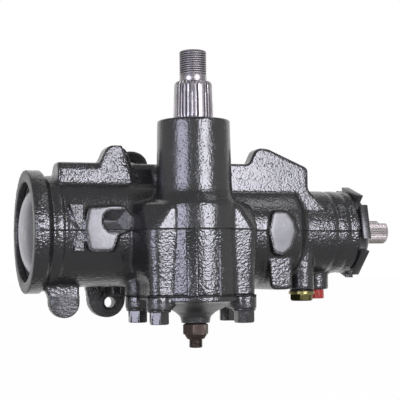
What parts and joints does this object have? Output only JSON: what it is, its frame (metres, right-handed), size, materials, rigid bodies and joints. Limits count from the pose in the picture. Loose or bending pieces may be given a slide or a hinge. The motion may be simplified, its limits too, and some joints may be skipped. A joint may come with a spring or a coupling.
{
  "type": "power steering gearbox",
  "caption": "Recirculating-ball power steering gearbox: cast case with domed end plug, upright serrated sector shaft, bolted side cover and serrated input shaft driving a worm and rack piston.",
  "frame": {"origin": "on the sector shaft axis at the large end of the arm serration, 1 mm above the top of the case boss", "axes": "+Z along the sector shaft toward its threaded end, +X along the worm toward the input shaft end, +Y toward the frame mounting face"},
  "size_m": [0.3311, 0.1419, 0.2431],
  "materials": {
    "case_paint": "gloss black paint over a rough sand casting",
    "plug_steel": "smooth grey coated pressing",
    "spring_steel": "bright drawn",
    "gear_steel": "ground",
    "bearing_steel": "polished",
    "shaft_steel": "ground and cleaned",
    "input_steel": "ground, faint warm tint",
    "oiled_steel": "dark oiled",
    "guide_steel": "pressed, plated",
    "seal_rubber": "matte",
    "ring_polymer": "matte",
    "bush_bronze": "satin",
    "zinc_plate": "yellow passivated",
    "cap_plastic": "moulded"
  },
  "bodies": {
    "case": {"housing": "case_paint", "end_plug": "plug_steel", "end_plug_seal": "seal_rubber", "end_plug_ring": "spring_steel", "lower_thrust_race": "bearing_steel", "lower_thrust_rollers": "bearing_steel", "upper_thrust_rollers": "bearing_steel", "adjuster_plug": "gear_steel", "adjuster_seal": "seal_rubber", "stub_bearing": "bearing_steel", "stub_rollers": "bearing_steel", "stub_seal": "seal_rubber", "stub_dust_seal": "seal_rubber", "stub_seal_ring": "spring_steel", "adjuster_locknut": "case_paint", "sector_bearing": "bearing_steel", "sector_rollers": "bearing_steel", "sector_inner_seal": "seal_rubber", "seal_washer": "spring_steel", "sector_outer_seal": "seal_rubber", "sector_seal_ring": "spring_steel", "side_cover": "case_paint", "side_cover_bush": "bush_bronze", "side_cover_gasket": "seal_rubber", "side_cover_bolts": "case_paint", "lash_screw": "oiled_steel", "lash_locknut": "oiled_steel", "pressure_plug": "zinc_plate", "pressure_plug_seal": "seal_rubber", "return_plug": "cap_plastic"},
    "sector": {"sector_shaft": "shaft_steel"},
    "rack": {"rack_piston": "gear_steel", "piston_ring": "ring_polymer", "piston_ring_backup": "seal_rubber", "rack_plug": "gear_steel", "recirculating_balls": "bearing_steel", "return_guide": "guide_steel", "return_clamp": "gear_steel", "return_clamp_screws": "gear_steel"},
    "worm_set": {"worm": "gear_steel", "valve_body": "gear_steel", "valve_body_rings": "ring_polymer", "torsion_bar": "gear_steel", "worm_pin": "gear_steel", "upper_thrust_race": "bearing_steel"},
    "input": {"stub_shaft": "input_steel", "spool_valve": "gear_steel", "spool_seal": "seal_rubber", "stub_pin": "gear_steel"}
  },
  "joints": [
    {"name": "sector_turn", "type": "hinge", "parent": "case", "child": "sector", "pos_m": [0, 0, 0], "axis": [0, 0, 1], "range_deg": [-40.2, 40.2]},
    {"name": "rack_slide", "type": "slide", "parent": "case", "child": "rack", "axis": [1, 0, 0], "range_m": [-0.016, 0.016]},
    {"name": "worm_spin", "type": "hinge", "parent": "case", "child": "worm_set", "pos_m": [0, 0.05, -0.0904], "axis": [1, 0, 0], "range_deg": [-540, 540]},
    {"name": "valve_twist", "type": "hinge", "parent": "worm_set", "child": "input", "pos_m": [0, 0.05, -0.0904], "axis": [1, 0, 0], "range_deg": [-4, 4], "stiffness_Nm_per_rad": 80}
  ],
  "couplings": [
    {"joint": "sector_turn", "follows": "rack_slide", "rad_per_m": -43.478},
    {"joint": "worm_spin", "follows": "rack_slide", "rad_per_m": -581.78}
  ]
}
